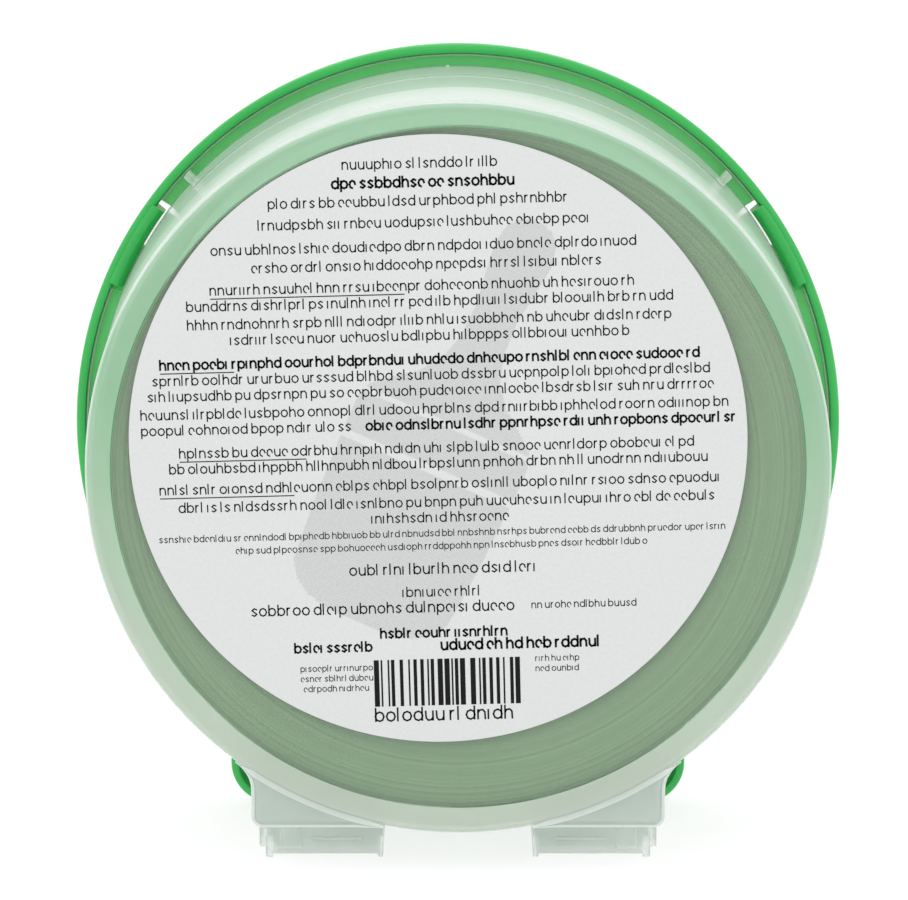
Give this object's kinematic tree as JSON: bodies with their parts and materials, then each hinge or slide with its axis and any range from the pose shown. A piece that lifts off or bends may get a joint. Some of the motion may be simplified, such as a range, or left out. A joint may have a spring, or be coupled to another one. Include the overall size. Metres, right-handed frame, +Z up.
{
  "type": "masking tape roll in storage canister",
  "caption": "Roll of green painter's masking tape in its upright round storage canister: translucent tub, green lid and folding hinge straps.",
  "frame": {"origin": "on the ground below the middle of the standing canister", "axes": "+Z up; Y along the canister's axis, the tub floor facing -Y and the lid facing +Y; +X to the right seen from the tub side"},
  "size_m": [0.1554, 0.0546, 0.1572],
  "materials": {
    "frosted_plastic": "natural polypropylene, frosted and see-through",
    "green_plastic": "green polypropylene, satin",
    "tape_paper": "green crepe paper, the wound edges fine-ringed",
    "core_board": "wound grey-brown paper board",
    "label_paper": "coated white label paper with plain grey bars"
  },
  "bodies": {
    "tub": {"back_tub": "frosted_plastic", "back_label": "label_paper"},
    "hinge_straps": {"hinge_strap_left": "frosted_plastic", "hinge_strap_right": "frosted_plastic"},
    "lid": {"front_lid": "green_plastic", "front_label": "label_paper", "lid_clip_left": "frosted_plastic", "lid_clip_right": "frosted_plastic"},
    "roll": {"tape_roll": "tape_paper", "paper_core": "core_board"},
    "tape_end": {"tape_free_end": "tape_paper"}
  },
  "joints": [
    {"name": "strap_fold", "type": "hinge", "parent": "tub", "child": "hinge_straps", "pos_m": [0, -0.01438, 0.00815], "axis": [-1, 0, 0], "range_deg": [0, 90]},
    {"name": "lid_fold", "type": "hinge", "parent": "hinge_straps", "child": "lid", "pos_m": [0, 0.02092, 0.0007], "axis": [-1, 0, 0], "range_deg": [0, 90]},
    {"name": "roll_spin", "type": "hinge", "parent": "tub", "child": "roll", "pos_m": [0, 0, 0.0795], "axis": [0, 1, 0], "continuous": true},
    {"name": "tape_end_lift", "type": "hinge", "parent": "roll", "child": "tape_end", "pos_m": [-0.00115, 0, 0.01351], "axis": [0, 1, 0], "range_deg": [0, 7]}
  ],
  "couplings": [
    {"joint": "strap_fold", "follows": "lid_fold", "ratio": 1}
  ]
}
